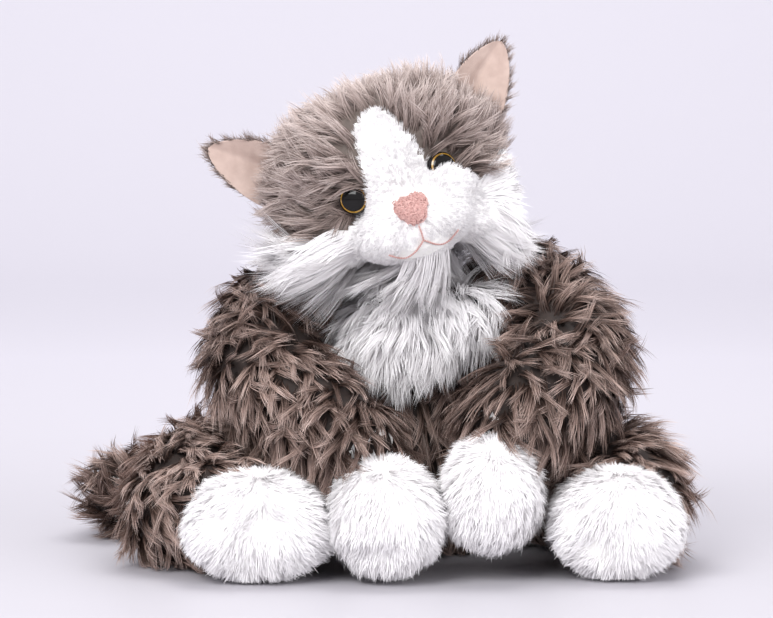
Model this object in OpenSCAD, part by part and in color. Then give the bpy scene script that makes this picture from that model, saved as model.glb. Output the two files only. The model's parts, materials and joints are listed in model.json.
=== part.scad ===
// Seated plush cat, in millimetres. +Z is up and the cat faces -Y. The soft parts are stuffed
// fabric covers: each cover is a closed shell, and its filling is a solid of its own inside.
// The limbs, head, tail and ears turn in sockets at their sewn seams.

/* [Fabric] */
// Thickness of the fabric covers
skin = 2.2; // [1.5:0.1:3]
// Room between a cover and its filling
fit_gap = 0.3; // [0.2:0.1:0.6]
// Room around a part that turns in a socket
joint_gap = 0.5; // [0.4:0.1:1]

/* [Torso] */
// Half width at the seat
seat_r = 54; // [50:1:56]
// Height where the torso starts to round in at the neck
torso_h = 126; // [120:1:127]
// Radius of the neck
neck_r = 22; // [18:1:23]
// Half width of the white chest panel
chest_w = 21; // [12:1:24]

/* [Head] */
// Half width of the head at the cheeks
head_r = 56; // [50:1:58]
// Lean of the head towards the cat's right shoulder, in degrees
head_lean = 20; // [15:1:25]
// Turn of the face, in degrees
head_yaw = 7; // [0:1:10]
// Lift of the face, in degrees
head_lift = 5; // [0:1:8]
// How far the muzzle stands out in front of the head's middle
muzzle_reach = 61; // [56:1:66]
// Distance between the eyes
eye_spacing = 44; // [40:1:48]
// Diameter of an eye
eye_d = 15; // [12:0.5:16]

/* [Ears] */
// Height of an ear from its root
ear_h = 35; // [30:1:40]
// Width of an ear at its root
ear_w = 32; // [26:1:34]

/* [Limbs] */
// Radius of the cat's right shoulder; the left one is 1 mm more
shoulder_r = 24; // [20:1:25]
// Radius of the hips
hip_r = 27; // [24:1:27]
// Radius of a front paw
front_paw_r = 24; // [20:1:25]
// Half width of a hind paw
hind_paw_w = 32; // [28:1:33]
// Radius of the tail at its root
tail_r = 16; // [13:1:18]

/* [Hidden] */

brown = "#5c4f48";
taupe = "#8d7f74";
white = "#f4f2f0";
beige = "#e6c8b0";
pink = "#d49a92";
filling = "#fbfaf6";
amber = "#b8801c";

sides = 16; // round a soft shape
cap_steps = 3; // rings on each rounded end
far = 400; // longer than anything here

stand = [1, 14, 0]; // moves the middle of the whole cat over the origin

// Every station of a soft shape is [x, y, z, half width, half height], from its root outwards.
torso = [
    [12, 14, 8, seat_r, 50],
    [12, 14, 38, seat_r + 1, 51],
    [13, 10, 72, seat_r - 6, 45],
    [14, 5, 102, seat_r - 13, 37],
    [14, 0, torso_h, seat_r - 22, 28]
];
neck_at = [14, -6, 148];
head_at = [2.5, -20, 191];
head = [
    [0, 0, -26, head_r - 10, 37],
    [0, 0, -10, head_r, 44],
    [0, 0, 8, head_r, 45],
    [0, 0, 24, head_r - 12, 37]
];
muzzle = [[0, -24, -29, 27, 20], [0, 14 - muzzle_reach, -30, 25, 20]];

left_shoulder = [-38, 5, 127.5];
right_shoulder = [67, 4, 131];
arm_left = [
    [left_shoulder.x, left_shoulder.y, left_shoulder.z, shoulder_r, shoulder_r],
    [-56, -15, 110, 25, 26],
    [-54, -44, 91, 26, 26],
    [-30, -70, 74, 25, 25],
    [-8, -86, 55, 22, 22]
];
arm_right = [
    [right_shoulder.x, right_shoulder.y, right_shoulder.z, shoulder_r + 1, shoulder_r + 1],
    [87, -16, 116, 26, 27],
    [93, -43, 97, 27, 27],
    [75, -69, 81, 26, 26],
    [57, -83, 64, 22, 22]
];
front_paw_left = [
    [0, -96, 38, front_paw_r, front_paw_r - 1],
    [6, -110, 30, front_paw_r, front_paw_r - 1]
];
front_paw_right = [
    [54, -92, 50, front_paw_r - 2, front_paw_r - 2],
    [52, -102, 40, front_paw_r - 2, front_paw_r - 2]
];

left_hip = [-48, 10, 37];
right_hip = [72, 10, 37];
leg_left = [
    [left_hip.x, left_hip.y, left_hip.z, hip_r, hip_r],
    [-74, -8, 37, 28, 29],
    [-89, -34, 36, 28, 29],
    [-80, -62, 32, 27, 27],
    [-67, -82, 29, 25, 25]
];
leg_right = [
    [right_hip.x, right_hip.y, right_hip.z, hip_r, hip_r],
    [100, -6, 37, 28, 29],
    [117, -31, 36, 28, 29],
    [120, -56, 32, 27, 27],
    [115, -74, 29, 25, 25]
];
hind_paw_left = [[-58, -88, 27, hind_paw_w + 1, 25], [-56, -110, 26.5, hind_paw_w + 2, 26]];
hind_paw_right = [[113, -80, 27, hind_paw_w - 1, 25], [112, -102, 26.5, hind_paw_w, 26]];
sole_depth = 6; // from the front of a hind paw to its sole's seam

tail_root = [-14, 64, 22];
tail = [
    [tail_root.x, tail_root.y, tail_root.z, tail_r, tail_r],
    [-46, 81, 21, 18, 18],
    [-86, 83, 21, 20, 20],
    [-119, 60, 21, 19, 19],
    [-134, 30, 22, 17, 17]
];

// ---- Soft shapes ----

// A point of the smooth curve through b and c, with a before them and d after.
function through(a, b, c, d, t) =
    0.5 * (2 * b + (c - a) * t + (2 * a - 5 * b + 4 * c - d) * t * t + (3 * b - a - 3 * c + d) * t * t * t);

function station(path, t) =
    let (last = len(path) - 1, i = max(0, min(floor(t * last), last - 1)))
    through(path[max(i - 1, 0)], path[i], path[i + 1], path[min(i + 2, last)], t * last - i);

function place(s) = [s.x, s.y, s.z];
function unit(v) = v / norm(v);
function heading(path, t) =
    unit(place(station(path, min(t + 0.02, 1))) - place(station(path, max(t - 0.02, 0))));

// One ring of points about s, across the direction d. up is what the ring's height follows.
function ring(s, d, up) =
    let (across = unit(cross(d, up)), high = cross(across, d))
    [for (k = [0:sides - 1])
        place(s) + s[3] * cos(360 * k / sides) * across + s[4] * sin(360 * k / sides) * high];

function shifted(s, d, along, share, inset) =
    [s.x + d.x * along, s.y + d.y * along, s.z + d.z * along,
     (s[3] - inset) * share, (s[4] - inset) * share];

function rings(path, caps, inset, steps, up) =
    let (d0 = heading(path, 0), d1 = heading(path, 1), last = path[len(path) - 1])
    concat(
        [for (k = [1:cap_steps]) let (a = 90 * k / (cap_steps + 1))
            ring(shifted(path[0], d0, -(caps[0] - inset) * cos(a), sin(a), inset), d0, up)],
        [for (k = [0:steps]) let (t = k / steps)
            ring(shifted(station(path, t), heading(path, t), 0, 1, inset), heading(path, t), up)],
        [for (k = [cap_steps:-1:1]) let (a = 90 * k / (cap_steps + 1))
            ring(shifted(last, d1, (caps[1] - inset) * cos(a), sin(a), inset), d1, up)]);

// A stuffed shape along a path of stations, with an elliptical cap of the given length at each
// end. inset makes it smaller all round.
module plump(path, caps, inset = 0, steps = 8, up = [0, 0, 1]) {
    all_rings = rings(path, caps, inset, steps, up);
    count = len(all_rings);
    start = place(path[0]) - heading(path, 0) * (caps[0] - inset);
    finish = place(path[len(path) - 1]) + heading(path, 1) * (caps[1] - inset);
    points = concat([start], [for (r = all_rings) each r], [finish]);
    faces = concat(
        [for (k = [0:sides - 1]) [0, 1 + (k + 1) % sides, 1 + k]],
        [for (i = [0:count - 2], k = [0:sides - 1])
            let (a = 1 + i * sides + k, b = 1 + i * sides + (k + 1) % sides) [a, b, b + sides]],
        [for (i = [0:count - 2], k = [0:sides - 1])
            let (a = 1 + i * sides + k, b = 1 + i * sides + (k + 1) % sides) [a, b + sides, a + sides]],
        [for (k = [0:sides - 1]) let (a = 1 + (count - 1) * sides)
            [a + k, a + (k + 1) % sides, count * sides + 1]]);
    polyhedron(points, faces);
}

// ---- Torso ----

torso_caps = [14, 12];
split_x = 13; // the plane of the seam down the back
chest_z = 76; // the chest panel's lower edge

module torso_shape(inset = 0) { plump(torso, torso_caps, inset, 10, [0, 1, 0]); }

module sockets(gap) {
    translate(neck_at) sphere(r = neck_r + gap, $fn = 48);
    translate(left_shoulder) sphere(r = shoulder_r + gap, $fn = 48);
    translate(right_shoulder) sphere(r = shoulder_r + 1 + gap, $fn = 48);
    translate(left_hip) sphere(r = hip_r + gap, $fn = 48);
    translate(right_hip) sphere(r = hip_r + gap, $fn = 48);
    translate(tail_root) sphere(r = tail_r + gap, $fn = 48);
}

module above(z) { translate([-far / 2, -far / 2, z]) cube(far); }
module chest_block(gap = 0) {
    translate([split_x - chest_w - gap, -far, chest_z - gap]) cube([2 * chest_w + 2 * gap, far, far]);
}

module torso_shell() {
    difference() {
        intersection() { torso_shape(); above(skin); }
        torso_shape(skin);
        sockets(joint_gap);
    }
}

module body_left_cover() {
    color(brown) difference() {
        torso_shell();
        translate([split_x, -far / 2, -far / 2]) cube(far);
        chest_block();
    }
}

module body_right_cover() {
    color(brown) difference() {
        torso_shell();
        translate([split_x - far, -far / 2, -far / 2]) cube(far);
        chest_block();
    }
}

module chest_panel() {
    color(white) intersection() { torso_shell(); chest_block(); }
}

module seat_panel() {
    color(brown) difference() {
        intersection() { torso_shape(); translate([-far / 2, -far / 2, 0]) cube([far, far, skin]); }
        sockets(joint_gap);
    }
}

// The pouch of pellets that weighs the seat down
pouch_at = [12, 14, 24];
pouch_r = 28;
pouch_h = 13;
pouch_wall = 1;

module lens_shape(r, h) {
    // A round cushion: two equal ball caps of radius big, face to face
    big = (r * r + h * h) / (2 * h);
    intersection() {
        translate([0, 0, big - h]) sphere(r = big, $fn = 72);
        translate([0, 0, h - big]) sphere(r = big, $fn = 72);
    }
}

module pellet_pouch() {
    color("#e9e4da") translate(pouch_at) difference() {
        lens_shape(pouch_r, pouch_h);
        lens_shape(pouch_r - 2 * pouch_wall, pouch_h - pouch_wall);
    }
}

module pellet_fill() {
    color("#cfd4d8") translate(pouch_at)
        lens_shape(pouch_r - 2 * pouch_wall - 1, pouch_h - pouch_wall - fit_gap);
}

module body_stuffing() {
    color(filling) difference() {
        intersection() { torso_shape(skin + fit_gap); above(skin + fit_gap); }
        sockets(joint_gap + skin);
        translate(pouch_at) lens_shape(pouch_r + 1, pouch_h + fit_gap);
    }
}

// Ladder stitches that close the back
stitch_count = 15;
stitch_from = 0.3; // share of the torso's height
stitch_to = 0.9;
stitch_r = 0.6;
stitch_l = 5;
stitch_proud = 0.2; // of the stitch's middle, above the cloth

module back_seam() {
    color("#4a3f39") for (k = [0:stitch_count - 1]) {
        t = stitch_from + (stitch_to - stitch_from) * k / (stitch_count - 1);
        s = station(torso, t);
        d = heading(torso, t);
        back = unit([0, d.z, -d.y]);
        translate([split_x, s.y, s.z] + (s[4] + stitch_proud) * back) rotate([0, 90, 0])
            cylinder(r = stitch_r, h = stitch_l, center = true, $fn = 24);
    }
}

neck_seam_drop = 13.0; // below the neck's middle
neck_seam_r = 21.5;
neck_seam_tilt = 8.6; // follows the torso's slope, lower at the front
neck_thread_r = 0.8;

module neck_seam() {
    color("#4a3f39") translate(neck_at - [0, 0, neck_seam_drop]) rotate([neck_seam_tilt, 0, 0])
        rotate_extrude($fn = 72) translate([neck_seam_r, 0]) circle(r = neck_thread_r, $fn = 24);
}

label_size = [13, 0.8, 20];
label_at = [30, 64, 14]; // its lower corner nearest the tail
label_turn = -28;
module care_label() {
    color("white") translate(label_at) rotate([0, 0, label_turn]) cube(label_size);
}

// ---- Neck ----

neck_core_r = 16;

module neck_cover() {
    color(white) translate(neck_at) difference() {
        sphere(r = neck_r, $fn = 64);
        sphere(r = neck_core_r + joint_gap, $fn = 64);
    }
}

module neck_stuffing() {
    color(filling) translate(neck_at) sphere(r = neck_core_r, $fn = 64);
}

// ---- Head, in its own frame ----

module at_head() { translate(head_at) rotate([-head_lift, -head_lean, head_yaw]) children(); }

head_caps = [15, 15];
module head_shape(inset = 0) { plump(head, head_caps, inset, 8, [0, 1, 0]); }
module muzzle_shape(inset = 0) { plump(muzzle, [4, 14], inset, 3); }

ear_root = [54, 3, 17];
ear_slant = 43; // from upright, outwards
ear_pocket = [ear_w + 8, 17, 13];

module ear_place(side) {
    translate([side * ear_root.x, ear_root.y, ear_root.z]) rotate([0, side * ear_slant, 0]) children();
}

module ear_pockets() {
    for (side = [-1, 1]) ear_place(side)
        translate([0, 0, -ear_pocket.z / 2 + 9]) cube(ear_pocket, center = true);
}

eye_z = -9;
eye_back = 39.6; // from the head's middle to the back of an eye's cup
eye_turn = 18; // outwards, in degrees
shank_r = 2.4;
shank_l = 12;
washer_r = 7;
washer_t = 1.6;

module eye_place(side) {
    translate([side * eye_spacing / 2, -eye_back, eye_z]) rotate([90, 0, side * eye_turn]) children();
}

// The room that both eyes take in the head: a seat for the cup, the hole and the washer's pocket
module eye_rooms() {
    for (side = [-1, 1]) eye_place(side) {
        translate([0, 0, -0.6]) cylinder(r = eye_d / 2 + 0.3, h = 20, $fn = 48);
        translate([0, 0, -shank_l - 1]) cylinder(r = shank_r + 0.1, h = 20, $fn = 48);
        translate([0, 0, -shank_l - 1]) cylinder(r = washer_r + 0.4, h = 7.5, $fn = 48);
    }
}

module neck_room() {
    // The neck's socket, turned back into the head's frame
    rotate([head_lift, 0, 0]) rotate([0, head_lean, 0]) rotate([0, 0, -head_yaw])
        translate(neck_at - head_at) sphere(r = neck_r + joint_gap, $fn = 48);
}

module head_shell() {
    difference() {
        union() { head_shape(); muzzle_shape(); }
        head_shape(skin);
        muzzle_shape(skin);
        neck_room();
        ear_pockets();
        eye_rooms();
    }
}

// The outlines of the front panels, seen from the front
face_outline = [
    [-9, 30], [9, 30], [12, 19], [15, 3], [26, -11], [30, -27], [25, -44],
    [-25, -44], [-30, -27], [-26, -11], [-15, 3], [-12, 19]
];
cheek_top = -17;

module front_prism(outline) { rotate([90, 0, 0]) linear_extrude(far) polygon(outline); }
module face_block() { front_prism(face_outline); }
module cheek_block(side) {
    front_prism([[0, cheek_top - 6], [side * 30, cheek_top], [side * far, cheek_top + 6],
        [side * far, -far], [0, -far]]);
}
module chin_block() { front_prism([[-25, -44], [25, -44], [20, -far], [-20, -far]]); }
module half_space(side) { translate([side > 0 ? 0 : -far, -far / 2, -far / 2]) cube(far); }

module crown(side) {
    color(taupe) at_head() difference() {
        intersection() { head_shell(); half_space(side); }
        face_block();
        cheek_block(side);
    }
}
module crown_left() { crown(-1); }
module crown_right() { crown(1); }

module face_panel() {
    color(white) at_head() intersection() { head_shell(); face_block(); }
}

module cheek(side) {
    color(white) at_head() difference() {
        intersection() { head_shell(); cheek_block(side); }
        face_block();
        chin_block();
    }
}
module cheek_left() { cheek(-1); }
module cheek_right() { cheek(1); }

module chin_panel() {
    color(white) at_head() difference() {
        intersection() { head_shell(); chin_block(); }
        face_block();
    }
}

module head_stuffing() {
    color(filling) at_head() difference() {
        union() { head_shape(skin + fit_gap); muzzle_shape(skin + fit_gap); }
        neck_room();
        ear_pockets();
        eye_rooms();
    }
}

// How far the muzzle's rounded end stands out at x across and z up
function muzzle_front(x, z) =
    let (end = muzzle[1], a = pow(x / end[3], 2) + pow((z - end.z) / end[4], 2))
    end.y - 14 * sqrt(max(0.02, 1 - a));

// The embroidered nose, a rounded triangle sunk into the muzzle's upper front
nose_z = -23.5;
nose_slope = -24;
module nose() {
    color(pink) at_head() difference() {
        translate([0, muzzle_front(0, nose_z) - 0.4, nose_z]) rotate([nose_slope, 0, 0]) hull() {
            for (side = [-1, 1]) translate([side * 6.4, 0, 4]) sphere(r = 2.8, $fn = 20);
            translate([0, 0, -5.2]) sphere(r = 2.6, $fn = 20);
        }
        muzzle_shape();
    }
}

// The mouth: a stem down from the nose, then a smile to each side, on the muzzle's own surface
mouth_r = 0.6;
mouth_from = -32;
mouth_fork = -38;
fork_gap = 1.2; // keeps the three threads apart where they meet
smile_w = 17;
smile_dip = 4.3;

function stitch_at(x, z) = [x, muzzle_front(x, z) - 0.1, z, mouth_r, mouth_r];
function smile_at(side, t) =
    stitch_at(side * smile_w * t, mouth_fork - smile_dip * sin(180 * t) - 0.7 * t);

function smile_share(t) = (t * smile_w + fork_gap) / (smile_w + fork_gap);

module thread(path) { plump(path, [mouth_r, mouth_r], 0, 8, [0, 1, 0]); }

module mouth_stitches() {
    color(pink) at_head() {
        thread([for (k = [0:2]) stitch_at(0, mouth_from + (mouth_fork + fork_gap - mouth_from) * k / 2)]);
        for (side = [-1, 1]) thread([for (k = [0:4]) smile_at(side, smile_share(k / 4))]);
    }
}

// ---- Eyes: a black cup with a shank, an amber ring and a pupil under a clear dome ----

cup_t = 1.6;
dome_h = 4.4;
iris_r = eye_d / 2 - 1.1;
pupil_r = iris_r - 1.3;
paint_t = 0.3;

module eye_cup(side) {
    color("#14110f") at_head() eye_place(side) {
        cylinder(r = eye_d / 2, h = cup_t, $fn = 64);
        translate([0, 0, -shank_l]) cylinder(r = shank_r, h = shank_l, $fn = 48);
    }
}

module eye_iris(side) {
    color(amber) at_head() eye_place(side) translate([0, 0, cup_t]) difference() {
        cylinder(r = iris_r, h = paint_t, $fn = 64);
        translate([0, 0, -1]) cylinder(r = pupil_r, h = 3, $fn = 64);
    }
}

module eye_pupil(side) {
    color("black") at_head() eye_place(side) translate([0, 0, cup_t])
        cylinder(r = pupil_r, h = paint_t, $fn = 64);
}

module eye_lens(side) {
    ball = (pow(eye_d / 2, 2) + dome_h * dome_h) / (2 * dome_h);
    color("#ffffff", 0.3) at_head() eye_place(side) translate([0, 0, cup_t]) difference() {
        intersection() {
            translate([0, 0, dome_h - ball]) sphere(r = ball, $fn = 96);
            cylinder(r = eye_d / 2, h = dome_h + 1, $fn = 96);
        }
        translate([0, 0, -1]) cylinder(r = iris_r, h = 1 + paint_t, $fn = 64);
    }
}

module eye_washer(side) {
    color("white") at_head() eye_place(side) translate([0, 0, -shank_l + 3]) difference() {
        cylinder(r = washer_r, h = washer_t, $fn = 48);
        translate([0, 0, -1]) cylinder(r = shank_r, h = washer_t + 2, $fn = 48);
    }
}

module eye_left_cup() { eye_cup(-1); }
module eye_left_iris() { eye_iris(-1); }
module eye_left_pupil() { eye_pupil(-1); }
module eye_left_lens() { eye_lens(-1); }
module eye_left_washer() { eye_washer(-1); }
module eye_right_cup() { eye_cup(1); }
module eye_right_iris() { eye_iris(1); }
module eye_right_pupil() { eye_pupil(1); }
module eye_right_lens() { eye_lens(1); }
module eye_right_washer() { eye_washer(1); }

// ---- Ears: two cupped leaves back to back, on a rolled root that turns in its pocket ----

ear_t = 1.6; // of each leaf
ear_bend = 24; // radius of the cup
root_r = 3.2;
ear_tip_r = 8;
leaf_base = 2.6; // height of a leaf's lower edge above the root's middle

module ear_outline() {
    hull() {
        translate([-ear_w / 2, 0]) square([ear_w, 2]);
        translate([0, ear_h * 0.42]) circle(r = ear_w * 0.46, $fn = 48);
        translate([0, ear_h - ear_tip_r]) circle(r = ear_tip_r, $fn = 48);
    }
}

module ear_leaf(inner) {
    intersection() {
        translate([0, far / 2, leaf_base]) rotate([90, 0, 0]) linear_extrude(far)
            intersection() { ear_outline(); translate([-ear_w, 0]) square([2 * ear_w, ear_h - leaf_base]); }
        translate([0, -ear_bend + 1, 0]) difference() {
            cylinder(r = inner + ear_t, h = far, $fn = 96);
            translate([0, 0, -1]) cylinder(r = inner, h = far + 2, $fn = 96);
            translate([-far / 2, -far, -1]) cube([far, far, far + 2]);
        }
    }
}

module ear_back(side) {
    color(taupe) at_head() ear_place(side) {
        difference() {
            ear_leaf(ear_bend);
            rotate([0, 90, 0]) cylinder(r = root_r - 0.5, h = far, center = true, $fn = 48);
        }
        rotate([0, 90, 0]) cylinder(r = root_r, h = ear_w * 0.7, center = true, $fn = 48);
    }
}

module ear_lining(side) {
    color(beige) at_head() ear_place(side) difference() {
        ear_leaf(ear_bend - ear_t);
        rotate([0, 90, 0]) cylinder(r = root_r, h = far, center = true, $fn = 48);
    }
}

module ear_left_back() { ear_back(-1); }
module ear_left_lining() { ear_lining(-1); }
module ear_right_back() { ear_back(1); }
module ear_right_lining() { ear_lining(1); }

// ---- Limbs: each is a cover and its stuffing, and ends at a paw that is a closed cover too ----

module limb_cover(path, root_cap, paw, paw_caps) {
    color(brown) difference() {
        plump(path, [root_cap, 8]);
        plump(path, [root_cap, 8], skin);
        plump(paw, paw_caps, 0, 3);
    }
}

module limb_stuffing(path, root_cap, paw, paw_caps) {
    color(filling) difference() {
        plump(path, [root_cap, 8], skin + fit_gap);
        plump(paw, paw_caps, 0, 3);
    }
}

module paw_cover(paw, paw_caps) {
    color(white) difference() { plump(paw, paw_caps, 0, 3); plump(paw, paw_caps, skin, 3); }
}

module paw_fill(paw, paw_caps) {
    color(filling) plump(paw, paw_caps, skin + fit_gap, 3);
}

front_caps = [18, 18];
hind_caps = [10, 15];

module arm_left_cover() { limb_cover(arm_left, shoulder_r, front_paw_left, front_caps); }
module arm_left_stuffing() { limb_stuffing(arm_left, shoulder_r, front_paw_left, front_caps); }
module front_paw_left_cover() { paw_cover(front_paw_left, front_caps); }
module front_paw_left_fill() { paw_fill(front_paw_left, front_caps); }
module arm_right_cover() { limb_cover(arm_right, shoulder_r + 1, front_paw_right, front_caps); }
module arm_right_stuffing() { limb_stuffing(arm_right, shoulder_r + 1, front_paw_right, front_caps); }
module front_paw_right_cover() { paw_cover(front_paw_right, front_caps); }
module front_paw_right_fill() { paw_fill(front_paw_right, front_caps); }

// A hind paw's cover is in two pieces: the sole faces forwards, and the rest wraps the foot.
module sole_block(paw) {
    front = paw[1].y - hind_caps[1] + sole_depth;
    translate([-far / 2, front - far, -far / 2]) cube(far);
}

module hind_paw_sole(paw) {
    color(white) intersection() { paw_cover(paw, hind_caps); sole_block(paw); }
}
module hind_paw_top(paw) {
    color(white) difference() { paw_cover(paw, hind_caps); sole_block(paw); }
}

module leg_left_cover() { limb_cover(leg_left, hip_r, hind_paw_left, hind_caps); }
module leg_left_stuffing() { limb_stuffing(leg_left, hip_r, hind_paw_left, hind_caps); }
module hind_paw_left_cover() { hind_paw_top(hind_paw_left); }
module hind_paw_left_sole() { hind_paw_sole(hind_paw_left); }
module hind_paw_left_fill() { paw_fill(hind_paw_left, hind_caps); }
module leg_right_cover() { limb_cover(leg_right, hip_r, hind_paw_right, hind_caps); }
module leg_right_stuffing() { limb_stuffing(leg_right, hip_r, hind_paw_right, hind_caps); }
module hind_paw_right_cover() { hind_paw_top(hind_paw_right); }
module hind_paw_right_sole() { hind_paw_sole(hind_paw_right); }
module hind_paw_right_fill() { paw_fill(hind_paw_right, hind_caps); }

tail_caps = [tail_r, 15];
module tail_cover() {
    color(brown) difference() { plump(tail, tail_caps); plump(tail, tail_caps, skin); }
}
module tail_stuffing() { color(filling) plump(tail, tail_caps, skin + fit_gap); }

// ---- Nodes ----

translate(stand) {
    body_left_cover();
    body_right_cover();
    chest_panel();
    seat_panel();
    body_stuffing();
    pellet_pouch();
    pellet_fill();
    back_seam();
    neck_seam();
    care_label();
    neck_cover();
    neck_stuffing();
    crown_left();
    crown_right();
    face_panel();
    cheek_left();
    cheek_right();
    chin_panel();
    head_stuffing();
    nose();
    mouth_stitches();
    eye_left_cup();
    eye_left_iris();
    eye_left_pupil();
    eye_left_lens();
    eye_left_washer();
    eye_right_cup();
    eye_right_iris();
    eye_right_pupil();
    eye_right_lens();
    eye_right_washer();
    ear_left_back();
    ear_left_lining();
    ear_right_back();
    ear_right_lining();
    arm_left_cover();
    arm_left_stuffing();
    front_paw_left_cover();
    front_paw_left_fill();
    arm_right_cover();
    arm_right_stuffing();
    front_paw_right_cover();
    front_paw_right_fill();
    leg_left_cover();
    leg_left_stuffing();
    hind_paw_left_cover();
    hind_paw_left_sole();
    hind_paw_left_fill();
    leg_right_cover();
    leg_right_stuffing();
    hind_paw_right_cover();
    hind_paw_right_sole();
    hind_paw_right_fill();
    tail_cover();
    tail_stuffing();
}
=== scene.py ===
"""Looks of the seated plush cat. Lengths are in millimetres, and become metres in Blender."""

import json
import math

import bmesh
import bpy
import numpy as np
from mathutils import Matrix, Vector
from mathutils.bvhtree import BVHTree


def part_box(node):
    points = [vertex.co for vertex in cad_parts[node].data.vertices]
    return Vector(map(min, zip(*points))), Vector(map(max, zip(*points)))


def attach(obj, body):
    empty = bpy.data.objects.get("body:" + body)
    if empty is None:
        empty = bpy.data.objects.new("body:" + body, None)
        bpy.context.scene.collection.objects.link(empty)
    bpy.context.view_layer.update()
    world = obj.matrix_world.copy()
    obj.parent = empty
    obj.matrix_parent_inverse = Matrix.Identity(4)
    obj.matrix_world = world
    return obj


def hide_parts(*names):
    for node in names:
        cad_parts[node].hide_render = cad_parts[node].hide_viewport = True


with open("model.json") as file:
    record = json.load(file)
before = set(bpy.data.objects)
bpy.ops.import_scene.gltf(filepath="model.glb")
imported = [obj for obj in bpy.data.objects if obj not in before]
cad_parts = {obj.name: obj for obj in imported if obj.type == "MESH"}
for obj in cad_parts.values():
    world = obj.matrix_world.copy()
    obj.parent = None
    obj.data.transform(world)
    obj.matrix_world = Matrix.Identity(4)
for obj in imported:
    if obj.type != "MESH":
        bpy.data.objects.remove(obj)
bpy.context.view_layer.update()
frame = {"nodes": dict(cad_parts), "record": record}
NODES = frame["nodes"]
MM = 0.001
FLOOR = 0.6  # nothing lies lower
SIGN = {"left": -1, "right": 1}
rng = np.random.default_rng(11)


# ---- Frames and small helpers ----


def turn(axis, degrees):
    a = math.radians(degrees)
    c, s = math.cos(a), math.sin(a)
    i, j = {"x": (1, 2), "y": (2, 0), "z": (0, 1)}[axis]
    m = np.eye(3)
    m[i, i] = m[j, j] = c
    m[i, j], m[j, i] = -s, s
    return m


def unit(v):
    return v / np.maximum(np.linalg.norm(v, axis=-1, keepdims=True), 1e-9)


def along_skin(v, n):
    """The direction v laid flat on a surface with normal n."""
    return unit(v - n * (v * n).sum(1, keepdims=True))


def joint_at(name):
    """A joint's place in the shared frame, in millimetres."""
    joint = next(j for j in frame["record"]["behaviour"]["joints"] if j["name"] == name)
    return np.array(joint["pos_m"]) / MM


def box_of(node):
    """The lowest and highest corner of a CAD node, in millimetres."""
    low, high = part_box(node)
    return np.array(low) / MM, np.array(high) / MM


def middle(node):
    low, high = box_of(node)
    return (low + high) / 2


HEAD_LEAN, HEAD_YAW, HEAD_LIFT = 20, 7, 5  # degrees
HEAD_TURN = turn("z", HEAD_YAW) @ turn("y", -HEAD_LEAN) @ turn("x", -HEAD_LIFT)
HEAD_AT = joint_at("head_turn") + np.array([-11.5, -14, 43])


def to_head(p):
    return (p - HEAD_AT) @ HEAD_TURN


def from_head(p):
    return np.asarray(p, float) @ HEAD_TURN.T + HEAD_AT


def smoothstep(x, low, high):
    t = np.clip((x - low) / (high - low), 0, 1)
    return t * t * (3 - 2 * t)


# ---- Camera, lights and stage ----

VIEW_TARGET = np.array([4.75, 0, 122]) * MM
VIEW_DISTANCE, VIEW_ELEVATION = 1.3, math.radians(4)  # metres, radians
LENS, SENSOR = 121, 36  # millimetres
SKY_COLOR, SKY_STRENGTH = (0.96, 0.945, 1.0, 1), 0.82
LIGHTS = {  # place, target, size (all in metres) and power in watts
    "key": ((-0.6, -1.1, 1.0), (0, 0, 0.12), (0.9, 0.7), 17),
    "fill": ((1.0, -1.0, 0.6), (0, 0, 0.12), (0.9, 0.7), 7),
    "top": ((0.1, 0.2, 1.3), (0, 0, 0.1), (1.0, 0.7), 10),
    "backdrop": ((0, 1.6, 2.2), (0, 3.4, 0.4), (2.5, 1.0), 12),
}


def look_at(obj, target):
    direction = Vector(target) - obj.location
    obj.rotation_euler = direction.to_track_quat("-Z", "Y").to_euler()


def placed(name, data):
    """A new object in the scene."""
    obj = bpy.data.objects.new(name, data)
    bpy.context.collection.objects.link(obj)
    return obj


def add_camera():
    data = bpy.data.cameras.new("camera")
    data.lens = LENS
    data.sensor_width = SENSOR
    camera = placed("camera", data)
    away_from_target = np.array([0, -math.cos(VIEW_ELEVATION), math.sin(VIEW_ELEVATION)])
    camera.location = VIEW_TARGET + VIEW_DISTANCE * away_from_target
    look_at(camera, VIEW_TARGET)
    bpy.context.scene.camera = camera


def add_lights():
    world = bpy.data.worlds.new("studio")
    world.use_nodes = True
    back = world.node_tree.nodes["Background"]
    back.inputs["Color"].default_value = SKY_COLOR
    back.inputs["Strength"].default_value = SKY_STRENGTH
    bpy.context.scene.world = world
    for name, (place, target, size, power) in LIGHTS.items():
        data = bpy.data.lights.new(name, "AREA")
        data.shape = "RECTANGLE"
        data.size, data.size_y = size
        data.energy = power
        light = placed(name, data)
        light.location = place
        look_at(light, target)
    bpy.context.scene.view_settings.view_transform = "Standard"


def object_from(bm, name):
    """A new object with the mesh that bm holds. bm is freed."""
    mesh = bpy.data.meshes.new(name)
    bm.to_mesh(mesh)
    bm.free()
    return placed(name, mesh)


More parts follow.
